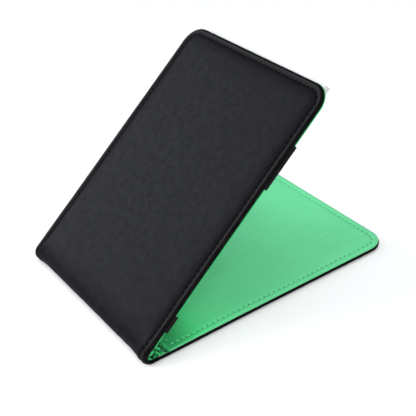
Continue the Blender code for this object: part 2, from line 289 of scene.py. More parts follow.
def sheet_pieces(names, cuts, world, faces, seam, flat, along, material, on_edge=None,
                 edge_material=None, shade=None):
    """One object for each stretch of the sheet between cuts.  They keep the
    normals of the whole sheet, so that no line shows where they meet."""
    if inside_out(world, faces):
        faces = [face[::-1] for face in faces]
        seam = [spots[::-1] for spots in seam]
    whole = bpy.data.meshes.new("whole")
    whole.from_pydata([tuple(p) for p in world], [], faces)
    normals = np.array([tuple(v.normal) for v in whole.vertices])
    bpy.data.meshes.remove(whole)
    middle = [np.mean(along[face]) for face in faces]
    made, edges = [], [-1e9, *cuts, 1e9]
    for name, low, high in zip(names, edges, edges[1:]):
        chosen = [k for k, a in enumerate(middle) if low < a < high]
        used = sorted({v for k in chosen for v in faces[k]})
        renumber = {v: n for n, v in enumerate(used)}
        part = [[renumber[v] for v in faces[k]] for k in chosen]
        spots = [list(seam[k]) for k in chosen]
        capped(part, spots)
        piece = make_object(name, world[used], part, material, flat[used], spots, normals[used],
                            shade=None if shade is None else shade[used])
        if edge_material:
            piece.data.materials.append(edge_material)
            marks = [on_edge[k] for k in chosen] + [0] * (len(part) - len(chosen))
            piece.data.polygons.foreach_set("material_index", marks)
        made.append(piece)
    return made


def tube(route, radii, normals, sides=ROD_SIDES):
    """Points and faces of a rod along world points, with rounded ends."""
    points, faces = [], []
    for i, point in enumerate(route):
        heading = route[min(i + 1, len(route) - 1)] - route[max(i - 1, 0)]
        heading = heading / np.linalg.norm(heading)
        out = normals[i] - heading * np.dot(normals[i], heading)
        out = out / np.linalg.norm(out)
        side = np.cross(heading, out)
        for k in range(sides):
            turn = 2 * math.pi * k / sides
            points.append(point + radii[i] * (math.cos(turn) * out + math.sin(turn) * side))
    for i in range(len(route) - 1):
        for k in range(sides):
            a, b = i * sides + k, i * sides + (k + 1) % sides
            faces.append([a, b, b + sides, a + sides])
    last = (len(route) - 1) * sides
    faces.append(list(reversed(range(sides))))
    faces.append([last + k for k in range(sides)])
    return points, faces


# How deep each station of a stitch is sunk and how thick it is, for a radius of 1
STITCH_SUNK = np.array([1.35, 0.525, 0.075, 0.0, 0.075, 0.525, 1.35])
STITCH_THICK = np.array([0.55, 0.85, 1.0, 1.03, 1.0, 0.85, 0.55])
STATIONS = len(STITCH_SUNK)


def stitched(name_of, line, surface, material, radius, length, jitter=0.06):
    """A row of stitches along a line of pattern points.  surface(x, along) is the
    height that they lie at and name_of(along) the object each of them is part of."""
    line = np.asarray(line)
    steps = np.linalg.norm(np.diff(line, axis=0), axis=1)
    travelled = np.concatenate([[0], np.cumsum(steps)])
    count = int(travelled[-1] / STITCH_PITCH)
    pitch = travelled[-1] / count
    groups = {}
    for k in range(count):
        centre = (k + 0.5) * pitch + rng.uniform(-jitter, jitter)
        stations = centre + np.linspace(-0.5, 0.5, STATIONS) * length
        x = np.interp(stations, travelled, line[:, 0])
        along = np.interp(stations, travelled, line[:, 1])
        height, toward = surface(x, along)
        route = place(x, along, height - toward * STITCH_SUNK * radius)
        normals = place(x, along, height + toward) - place(x, along, height)
        points, faces = tube(route, STITCH_THICK * radius * MM, normals)
        group = groups.setdefault(name_of(float(along[STATIONS // 2])), ([], [], []))
        base = len(group[0])
        group[0].extend(points)
        group[1].extend([[v + base for v in face] for face in faces])
        for n in range(STATIONS):
            run = n * length / (STATIONS - 1) + 10 * k
            group[2].extend([(run, 0.8 * radius * side) for side in range(ROD_SIDES)])
    return {name: make_object(name, points, faces, material, flat)
            for name, (points, faces, flat) in groups.items()}


def band(name, path, across, thickness, world, material):
    """A ribbon: path is its centreline as (a, b) points, across the places over
    its width, thickness(i, j) its thickness there and world(a, b, w) a point."""
    path = np.asarray(path, float)
    ahead = np.gradient(path, axis=0)
    ahead /= np.linalg.norm(ahead, axis=1)[:, None]
    out = np.stack([-ahead[:, 1], ahead[:, 0]], -1)
    run = np.concatenate([[0], np.cumsum(np.linalg.norm(np.diff(path, axis=0), axis=1))])
    points, flat = [], []
    for side in (1, -1):
        for i in range(len(path)):
            for j, w in enumerate(across):
                a, b = path[i] + side * out[i] * thickness(i, j) / 2
                points.append(world(a, b, w))
                flat.append((run[i], w))
    points = np.array(points)
    faces = slab_faces(points, len(path), len(across))
    return make_object(name, points, faces, material, flat)


def paper_layer(off, low_s, high_s, bottom, top, columns, rows, lift):
    """Points, faces and flat pattern of one sheet of the pad, off to one side by off.
    lift(x, s) is its wave."""
    xs = np.linspace(PAD_SHIFT - PAD_HALF + off, PAD_SHIFT + PAD_HALF + off, columns)
    ss = np.linspace(low_s, high_s, rows)
    grid_x, grid_s = np.meshgrid(xs, ss, indexing="ij")
    raised = lift(grid_x, grid_s)
    points = np.concatenate([on_front(grid_x, grid_s, h + raised).reshape(-1, 3)
                             for h in (bottom, top)])
    flat = np.concatenate([np.stack([grid_x, grid_s], -1).reshape(-1, 2)] * 2)
    return points, slab_faces(points, columns, rows), flat


# -------- materials

class Look:
    """A material with a Principled shader and short ways to add its nodes."""

    def __init__(self, name, roughness, **sockets):
        self.material = bpy.data.materials.new(name)
        self.material.use_nodes = True
        self.tree = self.material.node_tree
        self.shader = self.tree.nodes["Principled BSDF"]
        self.shader.inputs["Roughness"].default_value = roughness
        for socket, value in sockets.items():
            self.shader.inputs[socket.replace("_", " ")].default_value = value

    def put(self, node, values):
        for socket, value in values.items():
            if isinstance(value, bpy.types.NodeSocket):
                self.tree.links.new(value, node.inputs[socket])
            else:
                node.inputs[socket].default_value = value

    def add(self, kind, values=None, **settings):
        node = self.tree.nodes.new(kind)
        for key, value in settings.items():
            setattr(node, key, value)
        self.put(node, values or {})
        return node

    def uv(self, layer="flat", turn=0.0, stretch=(1.0, 1.0)):
        vector = self.add("ShaderNodeUVMap", uv_map=layer).outputs[0]
        return self.add("ShaderNodeMapping", {
            "Vector": vector, "Rotation": (0, 0, turn), "Scale": (*stretch, 1.0)}).outputs[0]

    def noise(self, vector, scale, detail=2.0, rough=0.5):
        return self.add("ShaderNodeTexNoise", {
            "Vector": vector, "Scale": scale, "Detail": detail, "Roughness": rough}).outputs["Fac"]

    def math(self, operation, a, b=0.0, clamp=False):
        node = self.add("ShaderNodeMath", {0: a, 1: b}, operation=operation, use_clamp=clamp)
        return node.outputs[0]

    def times(self, a, b):
        return self.math("MULTIPLY", a, b)

    def plus(self, a, b):
        return self.math("ADD", a, b)

    def minus(self, a, b):
        return self.math("SUBTRACT", a, b)

    def part(self, vector, axis):
        return self.add("ShaderNodeSeparateXYZ", {0: vector}).outputs[axis]

    def cells(self, vector, scale, **settings):
        values = {"Vector": vector, "Scale": scale}
        return self.add("ShaderNodeTexVoronoi", values, **settings).outputs["Distance"]

    def weave(self, vector, *pitches):
        """Threads that pass over and under each other."""
        lines = [self.math("SINE", self.times(self.part(vector, axis), 2 * math.pi / pitch))
                 for axis, pitch in enumerate(pitches)]
        return self.times(*lines)

    def spread(self, value, low, high, to_low=0.0, to_high=1.0):
        return self.add("ShaderNodeMapRange", {
            "Value": value, "From Min": low, "From Max": high, "To Min": to_low,
            "To Max": to_high}).outputs[0]

    def mix(self, share, a, b):
        a, b = ((*v, 1.0) if isinstance(v, tuple) else v for v in (a, b))
        return self.add("ShaderNodeMix", {0: share, 6: a, 7: b}, data_type="RGBA").outputs[2]

    def bump(self, height, distance, strength=1.0, normal=None):
        values = {"Height": height, "Distance": distance, "Strength": strength}
        if normal is not None:
            values["Normal"] = normal
        return self.add("ShaderNodeBump", values).outputs[0]

    def holes(self):
        """1 in the needle holes at the ends of the stitches, 0 elsewhere."""
        run = self.part(self.uv("seam"), 0)
        step = self.math("FRACT", self.math("DIVIDE", run, STITCH_PITCH * MM))
        off = self.times(self.math("MINIMUM", step, self.minus(1.0, step)), STITCH_PITCH * MM)
        beside = self.minus(self.inset(), STITCH_INSET * MM)
        squares = self.plus(self.math("POWER", off, 2.0), self.math("POWER", beside, 2.0))
        return self.spread(self.math("SQRT", squares), HOLE_EDGE * MM, HOLE_CORE * MM)

    def inset(self):
        """Distance from the sheet's edge."""
        return self.part(self.uv("seam"), 1)

    def done(self, colour=None, roughness=None, normal=None):
        for socket, value in (("Base Color", colour), ("Roughness", roughness), ("Normal", normal)):
            if value is not None:
                self.tree.links.new(value, self.shader.inputs[socket])
        return self.material


def black_leather():
    look = Look("black_grained_leather", 0.34, Specular_IOR_Level=0.08)
    flat = look.uv()
    warp = look.add("ShaderNodeTexNoise", {"Vector": flat, "Scale": 700.0, "Detail": 2.0})
    bent = look.add("ShaderNodeVectorMath", {
        0: warp.outputs["Color"], 1: (0.0006, 0.0006, 0.0), 2: flat},
        operation="MULTIPLY_ADD").outputs[0]
    grain = look.spread(look.cells(bent, 1900.0, feature="DISTANCE_TO_EDGE"), 0.0, 0.22)
    fine = look.noise(flat, 5200.0, 3.0)
    broad = look.noise(flat, 48.0, 4.0, 0.6)
    mid = look.noise(flat, 320.0, 3.0)
    colour = look.mix(look.spread(broad, 0.3, 0.7),
                      (0.0028, 0.0030, 0.0038), (0.0042, 0.0044, 0.0054))
    colour = look.mix(look.spread(grain, 0.0, 1.0, 0.5, 0.0), colour, (0.0028, 0.0028, 0.0034))
    # Painted highlight: the rim's ridge, between the edge and the seam, is coloured lighter in
    # patches, as if catching the light.
    painted_rim_highlight = look.spread(look.inset(), 2.6 * MM, 1.6 * MM)
    painted_rim_highlight = look.times(painted_rim_highlight, look.spread(look.inset(), 0.2 * MM, 0.7 * MM))
    painted_rim_highlight = look.times(painted_rim_highlight, look.spread(mid, 0.25, 0.65, 0.35, 0.85))
    colour = look.mix(painted_rim_highlight, colour, (0.013, 0.0125, 0.0125))
    holes = look.holes()
    # Painted shade: the needle holes are coloured darker, as if in shadow.
    colour = look.mix(look.times(holes, 0.8), colour, (0.002, 0.002, 0.002))
    along_it = look.part(flat, 1)
    in_fold = look.times(look.spread(along_it, (FOLD_ARC + 5.0) * MM, FOLD_ARC * MM),
                         look.spread(along_it, -5.0 * MM, 0.0))
    rough = look.plus(look.spread(mid, 0.3, 0.7, 0.28, 0.43), look.times(in_fold, 0.30))
    normal = look.bump(look.minus(look.times(mid, 0.5), holes), 0.00018, 0.7)
    normal = look.bump(look.plus(grain, look.times(fine, 0.35)), 0.00005, 0.55, normal)
    return look.done(colour, rough, normal)


def turned_edge():
    """The leather round the side edges, darkened with painted shade because these walls face away
    from the light.
    """
    look = Look("black_turned_edge", 0.6, Specular_IOR_Level=0.06)
    flat = look.uv()
    fine = look.noise(flat, 2600.0, 4.0, 0.6)
    broad = look.noise(flat, 160.0, 3.0)
    colour = look.mix(look.spread(broad, 0.3, 0.7),
                      (0.0014, 0.0014, 0.0016), (0.0040, 0.0039, 0.0042))
    return look.done(colour, look.spread(fine, 0.3, 0.7, 0.52, 0.7), look.bump(fine, 0.00004, 0.5))


def green_leather():
    """Deeper green, painted shade, where the shade layer says that little light gets in."""
    look = Look("green_satin_leather", 0.42, Specular_IOR_Level=0.4)
    flat = look.uv()
    streaks = look.noise(look.uv(turn=math.radians(-24), stretch=(1.0, 0.10)), 420.0, 3.0, 0.5)
    broad = look.noise(flat, 26.0, 3.0)
    cells = look.cells(flat, 2300.0)
    fine = look.noise(flat, 4200.0, 3.0)
    colour = look.mix(look.spread(broad, 0.3, 0.7), (0.118, 0.57, 0.258), (0.140, 0.63, 0.298))
    colour = look.mix(look.spread(streaks, 0.35, 0.7, 0.0, 0.14), colour, (0.19, 0.78, 0.42))
    colour = look.mix(look.spread(streaks, 0.5, 0.25, 0.0, 0.14), colour, (0.070, 0.46, 0.19))
    # Painted shade: darker green along the stitch groove, as if in its shadow.
    groove = look.math("ABSOLUTE", look.minus(look.inset(), STITCH_INSET * MM))
    groove = look.spread(groove, 0.40 * MM, 0.10 * MM, 0.0, 0.6)
    colour = look.mix(groove, colour, (0.030, 0.36, 0.135))
    hollow = look.part(look.uv("shade"), 0)
    # Painted shade: in the deepest folds, crease noise breaks the shade up into darker and lighter
    # crumples. The creases are bumped too.
    creases = look.noise(look.uv(turn=math.radians(38), stretch=(1.0, 0.5)), 620.0, 3.0, 0.6)
    inside = look.spread(hollow, 0.45, 0.7)
    crumple = look.times(inside, look.spread(creases, 0.4, 0.6, -0.42, 0.42))
    hollow = look.math("ADD", hollow, crumple, clamp=True)
    for low, high, deeper in ((0.0, 0.22, (0.066, 0.62, 0.215)), (0.2, 0.45, (0.026, 0.34, 0.105)),
                              (0.45, 0.95, (0.002, 0.040, 0.014))):
        colour = look.mix(look.spread(hollow, low, high), colour, deeper)
    holes = look.holes()
    # Painted shade: the needle holes are coloured darker, as if in shadow.
    colour = look.mix(look.times(holes, 0.6), colour, (0.006, 0.06, 0.022))
    normal = look.bump(look.minus(look.times(streaks, 0.2), holes), 0.00014, 0.6)
    normal = look.bump(look.plus(cells, look.times(fine, 0.5)), 0.00003, 0.5, normal)
    normal = look.bump(look.times(creases, inside), 0.0012, 0.8, normal)
    return look.done(colour, look.spread(streaks, 0.3, 0.7, 0.36, 0.50), normal)


def thread(name, dark, light, gloss):
    look = Look(name, 0.62, Specular_IOR_Level=gloss)
    twist = look.uv(turn=math.radians(32))
    ply = look.add("ShaderNodeTexWave", {
        "Vector": twist, "Scale": 900.0, "Distortion": 0.6, "Detail": 1.0}).outputs["Fac"]
    fuzz = look.noise(look.uv(), 6000.0, 2.0)
    colour = look.mix(ply, dark, light)
    normal = look.bump(look.plus(ply, look.times(fuzz, 0.4)), 0.00006, 0.8)
    return look.done(colour, look.spread(fuzz, 0.3, 0.7, 0.5, 0.75), normal)


def elastic():
    look = Look("black_woven_elastic", 0.78, Sheen_Weight=0.04, Specular_IOR_Level=0.12)
    flat = look.uv()
    knit = look.weave(flat, 0.00055, 0.0009)
    fuzz = look.noise(flat, 3800.0, 3.0)
    shade = look.plus(look.spread(knit, -1.0, 1.0, 0.0, 0.6), look.times(fuzz, 0.4))
    colour = look.mix(shade, (0.0020, 0.0020, 0.0022), (0.0085, 0.0085, 0.009))
    normal = look.bump(look.plus(knit, fuzz), 0.00007, 0.8)
    return look.done(colour, look.spread(fuzz, 0.3, 0.7, 0.68, 0.88), normal)


def paper(name, dark, light, fleck):
    look = Look(name, 0.72)
    flat = look.uv()
    fibre = look.noise(flat, 1500.0, 5.0, 0.65)
    cloud = look.noise(flat, 90.0, 3.0)
    colour = look.mix(look.spread(cloud, 0.3, 0.7), dark, light)
    colour = look.mix(look.spread(fibre, 0.45, 0.7, 0.0, 0.12), colour, fleck)
    rough = look.spread(fibre, 0.3, 0.7, 0.66, 0.8)
    return look.done(colour, rough, look.bump(fibre, 0.00002, 0.5))


def board(name, dark, light, speck):
    """Pressed board, for CAD nodes, which have no pattern of their own."""
    look = Look(name, 0.85)
    spot = look.add("ShaderNodeTexCoord").outputs["Object"]
    fibre = look.noise(spot, 1400.0, 6.0, 0.7)
    cloud = look.noise(spot, 120.0, 3.0)
    colour = look.mix(look.spread(cloud, 0.3, 0.7), dark, light)
    colour = look.mix(look.spread(fibre, 0.55, 0.75, 0.0, 0.6), colour, speck)
    rough = look.spread(fibre, 0.3, 0.7, 0.75, 0.92)
    return look.done(colour, rough, look.bump(fibre, 0.00005, 0.6))


def foam():
    look = Look("foam_sheet", 0.95)
    flat = look.uv()
    cells = look.cells(flat, 2600.0)
    cloud = look.noise(flat, 200.0, 2.0)
    colour = look.mix(look.spread(cells, 0.1, 0.6), (0.40, 0.40, 0.38), (0.62, 0.62, 0.60))
    colour = look.mix(look.spread(cloud, 0.3, 0.7, 0.0, 0.2), colour, (0.5, 0.5, 0.44))
    return look.done(colour, None, look.bump(cells, 0.0001, 0.8))


def book_cloth():
    look = Look("black_book_cloth", 0.7)
    flat = look.uv()
    weave = look.weave(flat, 0.0004, 0.0004)
    fuzz = look.noise(flat, 3000.0, 3.0)
    colour = look.mix(look.spread(weave, -1.0, 1.0), (0.010, 0.010, 0.011), (0.026, 0.026, 0.028))
    normal = look.bump(look.plus(weave, fuzz), 0.00004, 0.7)
    return look.done(colour, look.spread(fuzz, 0.3, 0.7, 0.6, 0.8), normal)


def steel_wire():
    look = Look("steel_wire", 0.28, Metallic=1.0)
    drawn = look.noise(look.uv(stretch=(0.1, 1.0)), 5000.0, 3.0)
    colour = look.mix(look.spread(drawn, 0.3, 0.7), (0.50, 0.50, 0.52), (0.68, 0.68, 0.70))
    rough = look.spread(drawn, 0.3, 0.7, 0.2, 0.38)
    return look.done(colour, rough, look.bump(drawn, 0.00001, 0.4))


LEATHER = black_leather()
EDGE = turned_edge()
GREEN = green_leather()
BLACK_THREAD = thread("black_thread", (0.001, 0.001, 0.001), (0.004, 0.004, 0.004), 0.04)
GREEN_THREAD = thread("green_thread", (0.09, 0.58, 0.26), (0.25, 0.92, 0.50), 0.3)
ELASTIC = elastic()
PAPER = paper("uncoated_paper", (0.69, 0.695, 0.715), (0.75, 0.755, 0.775), (0.56, 0.56, 0.57))
# The pad's cut edges: the same paper, greyer with painted shade.
CUT_EDGE = paper("cut_paper_edge", (0.42, 0.42, 0.435), (0.50, 0.50, 0.515), (0.32, 0.32, 0.33))
CARD = board("white_card", (0.60, 0.61, 0.62), (0.70, 0.71, 0.72), (0.5, 0.5, 0.5))
GREYBOARD = board("grey_board", (0.28, 0.25, 0.22), (0.42, 0.38, 0.33), (0.2, 0.18, 0.16))
FOAM = foam()
CLOTH = book_cloth()
STEEL = steel_wire()


# -------- cover skin

def stops(*pieces):
    """Places along a line: pieces are (start, end, step), joined end to end."""
    places = []
    for start, end, step in pieces:
        count = max(1, round((end - start) / step))
        places.extend(start + (end - start) * k / count for k in range(count))
    return [round(p, 6) for p in places] + [round(pieces[-1][1], 6)]


DEPTH = CORNER_RADIUS
INNER_HALF = HALF_WIDTH - DEPTH
INNER_FAR = PANEL_LENGTH - DEPTH
CUTS = (0.0, FOLD_ARC / 2, FOLD_ARC)
COVER_XS = stops((-INNER_HALF, INNER_HALF, 1.9))
COVER_ALONG = stops((-INNER_FAR, -12.0, 2.4), (-12.0, 0.0, 0.6), (0.0, FOLD_ARC / 2, 0.5),
                    (FOLD_ARC / 2, FOLD_ARC, 0.5), (FOLD_ARC, FOLD_ARC + 12.0, 0.6),
                    (FOLD_ARC + 12.0, FOLD_ARC + INNER_FAR, 2.4))

SKIN_RINGS = [(inset, 0.0) for inset in (
    DEPTH, 7.5, 6.9, 6.3, 5.7, 5.1, 4.6, 4.1, 3.7, 3.35, 3.05, 2.8, 2.6, 2.4, 2.15, 1.9, 1.6,
    1.3, 1.0, 0.7)]
# Up the rim and down behind it, to the stitched seam and under the padding
SKIN_RINGS += [
    (0.42, 0.65), (0.2, 0.75), (0.03, 0.87), (-0.09, 1.02), (-0.18, 1.2), (-0.25, 1.5),
    (-0.27, 1.8), (-0.22, 1.98), (-0.14, 2.06), (-0.02, 2.11), (0.14, 2.11), (0.3, 2.08),
    (0.44, 1.98), (0.5, 1.8), (0.5, 1.25), (0.65, 1.12), (1.2, 1.1), (3.5, 1.1), (4.4, 0.92),
    (5.6, 0.64), (7.2, 0.5), (DEPTH, 0.5)]
WALL_RINGS = range(19, 34)
# Section of the padded outer face, in from the rim
FACE_INSETS = [
    0.7, 0.9, 1.15, 1.4, 1.7, 2.0, 2.3, 2.6, 2.8, 3.05, 3.4, 4.0, 5.0, 6.2, 7.6, 9.2, 11.5, 14.0]
FACE_HEIGHTS = [
    0.60, 0.54, 0.51, 0.55, 0.68, 0.85, 0.98, 1.03, 0.94, 0.84, 0.73, 0.57, 0.385, 0.24, 0.135,
    0.07, 0.025, 0.0]
# Where each bend starts and ends: along the panels, and at which height
BEND_FAR, BEND_NEAR = 4.8, 0.2
BEND_LEVEL = 1.0


def skin_height(x, along, inset, height, face):
    """Padding fills the panels and stops short of the fold."""
    near_fold = 1 - smooth(1.0, 9.0, from_fold(along))
    middle = smooth(2.9, 6.0, inset)
    outside = (face == 0) & (inset > 0.65)
    height = np.where(outside, np.interp(inset, FACE_INSETS, FACE_HEIGHTS), height)
    height = np.where(outside, height + (0.92 - height) * near_fold * middle,
                      height + 0.85 * near_fold * middle)
    ends = smooth(33, 43, np.abs(x)) * (1 - smooth(0.0, 9.0, from_fold(along)))
    raised = height - 0.5 * ends * (face == 0) * smooth(0.3, 2.0, inset)
    s = along - FOLD_ARC
    crown = np.clip(1 - (x / 40) ** 2, 0, 1) * np.clip(1 - ((s - 60) / 56) ** 2, 0, 1)
    raised = raised - np.where(s > 0, 0.3 * crown, 0.0) * middle
    ripple = wave(x, along, 3.7, 26.0) * 0.10 + wave(x, along, 8.1, 9.0) * 0.03
    raised = raised + np.where(face == 0, ripple * middle * (1 - near_fold * 0.5), 0)
    floor = np.where((along < 0) & (face == 0), 0.0, -9.0)
    return np.maximum(raised, floor)


points, faces, seam, flat, seam_line, on_edge = closed_sheet(
    HALF_WIDTH, -PANEL_LENGTH, FOLD_ARC + PANEL_LENGTH, COVER_XS, COVER_ALONG, SKIN_RINGS, DEPTH,
    edge=WALL_RINGS)
x, along, inset, height, face = points.T
world = place(x, along, skin_height(x, along, inset, height, face))
skin = sheet_pieces(["back_skin", "fold_skin_lower", "fold_skin_upper", "front_skin"], CUTS, world,
                    faces, seam, flat, along, LEATHER, on_edge, EDGE)


def bend_pieces(pieces):
    """Bakes the placing of each of the four pieces into its mesh."""
    back, lower, upper, front = pieces
    start = Vector((0, FOLD_LINE + BEND_FAR, BEND_LEVEL)) * MM
    end = start - Vector((0, BEND_FAR - BEND_NEAR, 0)) * MM
    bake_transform(back)
    for piece, first, second, angle in ((lower, "spine_back", "spine_middle", FOLD_TURN / 4),
                                        (upper, "spine_middle", "spine_front", 3 * FOLD_TURN / 4)):
        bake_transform(piece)
    start, end = (Vector(on_front(0, s, BEND_LEVEL)) for s in (BEND_NEAR, BEND_FAR))
    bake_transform(front)


bend_pieces(skin)
for piece, nodes in zip(skin, (["back_outer_skin"], ["spine_skin_back"], ["spine_skin_middle"],
                               ["spine_skin_front", "front_outer_skin"])):
    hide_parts(*nodes)


# -------- lining

LINING_RINGS = [
    (DEPTH, 1.91), (3.0, 1.91), (1.3, 1.91), (0.9, 1.94), (0.65, 2.04), (0.45, 2.11), (0.1, 2.14),
    (-0.22, 2.17), (-0.38, 2.21), (-0.44, 2.28), (-0.4, 2.35), (-0.24, 2.4), (0.1, 2.4),
    (0.8, 2.4), (1.4, 2.38), (1.9, 2.33), (2.2, 2.26), (2.45, 2.19), (2.6, 2.17), (2.75, 2.19),
    (3.0, 2.25), (3.5, 2.29), (4.5, LINING_TOP), (DEPTH, LINING_TOP)]
GATHER_HEIGHT = 1.15
EDGE_SHADE = 0.42


def gathers(x, along):
    """Folds that the lining is pushed into on the inside of the bend."""
    share = (1 - smooth(4.0, 8.0, -along)) * (1 - smooth(FOLD_ARC + 2.0, FOLD_ARC + 7.0, along))
    drift = 1.9 * wave(x, along * 0.5, 5.2, 7.0)
    ridges = np.abs(np.cos(math.pi * along / 2.9 + 2.2 * drift)) ** 0.8
    tall = 0.55 + 0.5 * wave(x, along, 9.4, 5.0)
    edge = 1 + 0.3 * smooth(36, 45, np.abs(x))
    return share * np.clip(ridges * tall * edge, 0, 1.15)


def hollows(x, along):
    """How deep in one of those folds a point lies, which sets how much painted shade it gets."""
    share = (1 - smooth(6.0, 9.0, -along)) * (1 - smooth(FOLD_ARC + 2.0, FOLD_ARC + 7.0, along))
    return share * np.clip(1.6 - 2.1 * gathers(x, along), 0.2, 1)


points, faces, seam, flat, _, _ = closed_sheet(
    HALF_WIDTH, -PANEL_LENGTH, FOLD_ARC + PANEL_LENGTH, COVER_XS, COVER_ALONG, LINING_RINGS, DEPTH)
x, along, inset, height, face = points.T
trimmed = x * (1 - LINING_TRIM / HALF_WIDTH * (1 - smooth(0.0, FOLD_ARC, along)))
on_top = smooth(2.0, 2.35, height)
world = place(trimmed, along, height + GATHER_HEIGHT * gathers(x, along) * on_top)
at_edge = EDGE_SHADE * (inset < 0.08) * (along > FOLD_ARC / 2)
lining = sheet_pieces(["back_lining_sheet", "fold_lining_lower", "fold_lining_upper",
                       "front_lining_sheet"], CUTS, world, faces, seam, flat, along, GREEN,
                      shade=np.maximum(hollows(x, along), at_edge))
bend_pieces(lining)
for piece, nodes in zip(lining, (["back_lining"], ["spine_lining_back"], ["spine_lining_middle"],
                                 ["spine_lining_front", "front_lining"])):
    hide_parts(*nodes)


# -------- pocket

POCKET_INSET = 0.3
POCKET_HALF = HALF_WIDTH - POCKET_INSET
POCKET_DEPTH = CORNER_RADIUS - POCKET_INSET
POCKET_FAR = PANEL_LENGTH - POCKET_INSET
HEM_SEAM = POCKET_MOUTH + 1.8
POCKET_RINGS = [
    (POCKET_DEPTH, 2.42), (4.0, 2.42), (1.0, 2.42), (0.3, 2.43), (0.08, 2.47), (0.0, 2.55),
    (0.0, 2.64), (0.05, 2.73), (0.16, 2.79), (0.4, 2.84), (0.8, 2.86), (1.3, 2.85), (1.7, 2.79),
    (2.0, 2.7), (2.15, 2.65), (2.3, 2.63), (2.45, 2.65), (2.6, 2.7), (2.8, 2.77), (3.0, 2.81),
    (4.6, 2.81), (6.0, 2.81), (POCKET_DEPTH, 2.81)]
MOUTH_OPEN = 0.04
pocket_xs = stops((-(POCKET_HALF - POCKET_DEPTH), POCKET_HALF - POCKET_DEPTH, 1.9))
pocket_stops = stops((POCKET_MOUTH + POCKET_DEPTH, POCKET_FAR - POCKET_DEPTH, 2.4))


def pocket_height(x, s, inset, height):
    """The pocket lies flat; only its mouth stands a hair open, clear of the leaves when closed."""
    mouth = s - POCKET_MOUTH
    middle = np.clip(1 - (np.abs(x) / POCKET_HALF) ** 6, 0, 1)
    open_by = MOUTH_OPEN * np.exp(-(mouth / 9.0) ** 2) * middle
    gentle = 0.10 * wave(x, s, 2.2, 30.0) * smooth(3.5, 9, inset)
    return height + open_by + gentle * (height > 2.45)


points, faces, seam, flat, _, _ = closed_sheet(
    POCKET_HALF, POCKET_MOUTH, POCKET_FAR, pocket_xs, pocket_stops, POCKET_RINGS, POCKET_DEPTH,
    round_low=False, shift=POCKET_INSET)
x, s, inset, height, face = points.T
from_mouth = s - POCKET_MOUTH
unsewn = (from_mouth < (POCKET_HALF - np.abs(x)) - 0.01) & (inset <= 15)
seam = [[(spot[0], NO_SEAM[1]) if unsewn[v] else spot for v, spot in zip(f, spots)]
        for f, spots in zip(faces, seam)]
trim_share = 1 - POCKET_TRIM / POCKET_HALF
world = place(x * trim_share, -s, pocket_height(x, s, inset, height))
# Painted shade on the pocket: darkest near its mouth, under the standing front cover, with a
# painted shadow just under the mouth's edge.
under = 0.14 * np.exp(-(from_mouth / 36.0) ** 2) + 0.34 * np.exp(-(from_mouth / 13.0) ** 2)
under = under + 0.6 * np.exp(-(from_mouth / 0.35) ** 2) * (height < 2.5)
pocket, = sheet_pieces(["pocket_sheet"], (), world, faces, seam, flat, s, GREEN, shade=under)
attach(pocket, "back_cover")
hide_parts("pocket_panel")


# -------- stitches

# Radius and length of each seam's stitches, and the height that they lie at
OUTER_STITCH = (0.21, 1.95)
LINING_STITCH = (0.15, 1.9)
POCKET_STITCH = (0.15, 1.85)
HEM_STITCH = (0.13, 1.9)
OUTER_PULL = 0.06
LINING_SEAM, POCKET_SEAM, HEM_LEVEL = 2.26, 2.72, 2.74


def body_at(along):
    if along < -SIDE_HINGE:
        return "back_cover"
    if along > FOLD_ARC + SIDE_HINGE:
        return "front_cover"
    if along < FOLD_ARC / 4:
        return "spine_back"
    return "spine_middle" if along < 3 * FOLD_ARC / 4 else "spine_front"


def outer_surface(x, along):
    inset = np.full(np.shape(x), STITCH_INSET)
    face = np.zeros(np.shape(x))
    return skin_height(x, along, inset, np.zeros(np.shape(x)), face) - OUTER_PULL, -1.0


def inner_surface(x, along):
    return LINING_SEAM + GATHER_HEIGHT * gathers(x, along), 1.0


def pocket_surface(x, along):
    inset = np.full(np.shape(x), STITCH_INSET)
    return pocket_height(x, -along, inset, np.full(np.shape(x), POCKET_SEAM)), 1.0


def hem_surface(x, along):
    inset = np.full(np.shape(x), 9.0)
    return pocket_height(x, -along, inset, np.full(np.shape(x), HEM_LEVEL)), 1.0


def from_gap(line):
    """Part of a closed line, started after the gap in it."""
    start = int(np.argmax(np.linalg.norm(np.diff(line, axis=0), axis=1))) + 1
    return np.concatenate([line[start:], line[:start]])


outer_line = np.concatenate([seam_line, seam_line[:1]])
outer = stitched(lambda a: body_at(a) + "_stitches", outer_line, outer_surface,
                 BLACK_THREAD, *OUTER_STITCH)
for name, piece in outer.items():
    body = name.removesuffix("_stitches")
    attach(piece, body)
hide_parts("back_edge_thread")
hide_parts("front_edge_thread")

shown = from_gap(outer_line[outer_line[:, 1] > FOLD_ARC + 1.0])
inner = stitched(lambda a: "front_lining_stitches", shown, inner_surface,
                 GREEN_THREAD, *LINING_STITCH)
piece = inner["front_lining_stitches"]
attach(piece, "front_cover")
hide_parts("front_lining_thread")

kept = outer_line[:-1][outer_line[:-1, 1] < -POCKET_MOUTH - 0.8] * (trim_share, 1.0)
kept = from_gap(kept)
sewn = stitched(lambda a: "pocket_edge_stitches", kept, pocket_surface,
                GREEN_THREAD, *POCKET_STITCH)
hem_line = [(hx, -HEM_SEAM) for hx in np.linspace(-40, 40, 60)]
sewn.update(stitched(lambda a: "pocket_hem_stitches", hem_line, hem_surface,
                     GREEN_THREAD, *HEM_STITCH))
for name, piece in sewn.items():
    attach(piece, "back_cover")
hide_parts("pocket_edge_thread")
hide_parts("pocket_hem_thread")


# -------- straps

